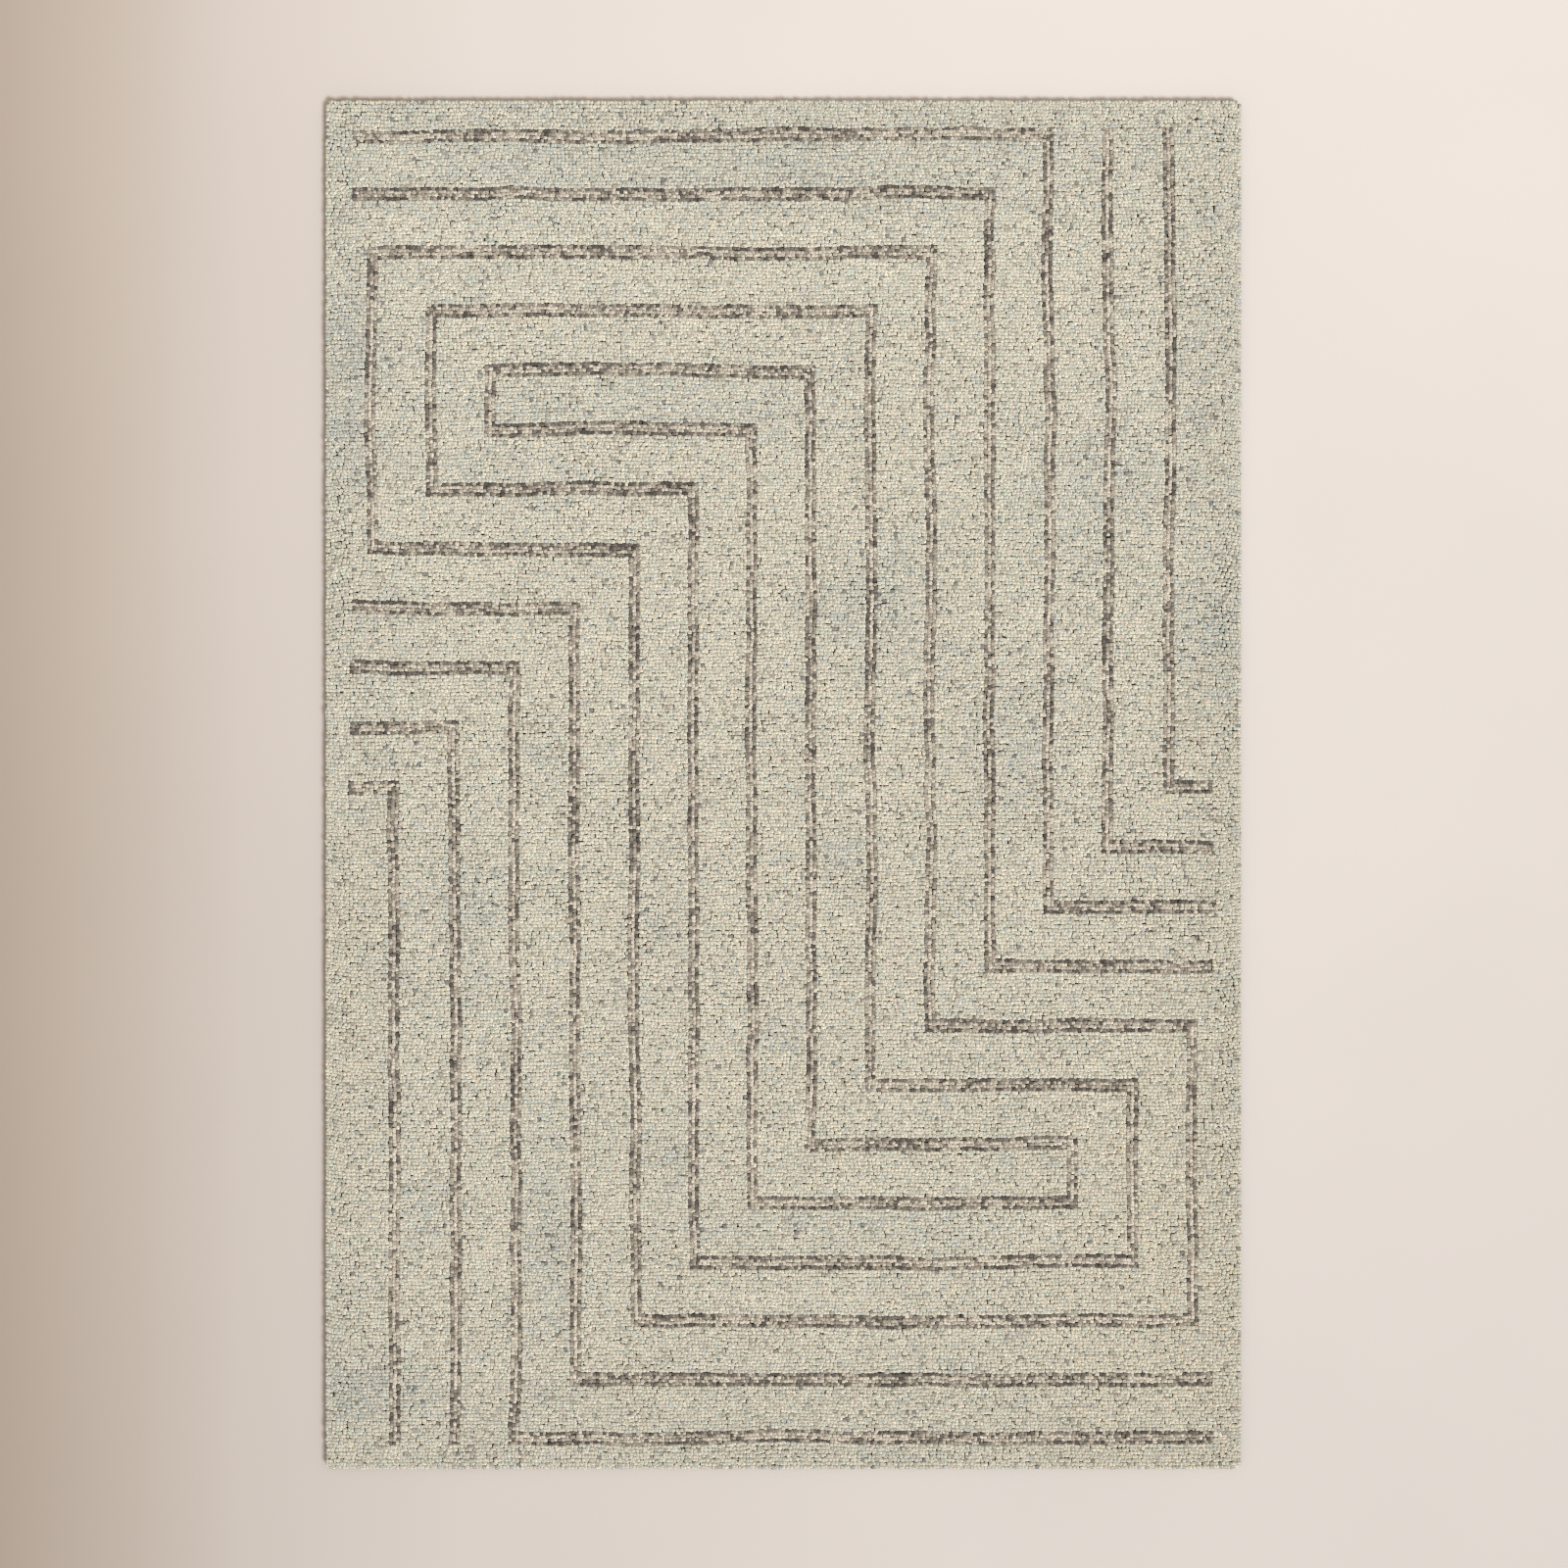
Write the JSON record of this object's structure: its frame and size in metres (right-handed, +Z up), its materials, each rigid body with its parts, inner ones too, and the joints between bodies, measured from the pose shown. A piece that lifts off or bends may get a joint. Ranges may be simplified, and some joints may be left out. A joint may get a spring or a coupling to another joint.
{
  "type": "area rug",
  "caption": "Rectangular hand-tufted wool area rug with a pale looped pile, nested dark stepped lines, a cloth and latex back and taped edges.",
  "frame": {"origin": "on the floor, under the middle of the rug's rectangle", "axes": "+X across the rug to the right, +Y along the rug to its far end, +Z up through the pile"},
  "size_m": [1.219, 1.823, 0.0124],
  "materials": {
    "dark_wool": "matte",
    "pale_wool": "matte",
    "primary_cloth": "matte",
    "secondary_cloth": "matte",
    "binding_tape": "matte",
    "latex": "matte"
  },
  "bodies": {
    "root": {"edge_tape_bottom": "binding_tape", "edge_tape_right": "binding_tape", "edge_tape_top": "binding_tape", "edge_tape_left": "binding_tape", "secondary_backing": "secondary_cloth", "latex_layer": "latex", "primary_backing": "primary_cloth", "upper_outer_line": "dark_wool", "upper_inner_line": "dark_wool", "right_inner_line": "dark_wool", "right_outer_line": "dark_wool", "lower_inner_line": "dark_wool", "lower_outer_line": "dark_wool", "left_inner_line": "dark_wool", "left_outer_line": "dark_wool", "outer_loop_line": "dark_wool", "middle_loop_line": "dark_wool", "inner_loop_line": "dark_wool", "border_pile": "pale_wool", "top_right_block_pile": "pale_wool", "right_outer_lane_pile": "pale_wool", "right_inner_lane_pile": "pale_wool", "upper_lane_pile": "pale_wool", "outer_ring_pile": "pale_wool", "middle_ring_pile": "pale_wool", "inner_ring_pile": "pale_wool", "centre_pile": "pale_wool", "lower_lane_pile": "pale_wool", "left_inner_lane_pile": "pale_wool", "left_outer_lane_pile": "pale_wool", "bottom_left_block_pile": "pale_wool"}
  },
  "joints": []
}
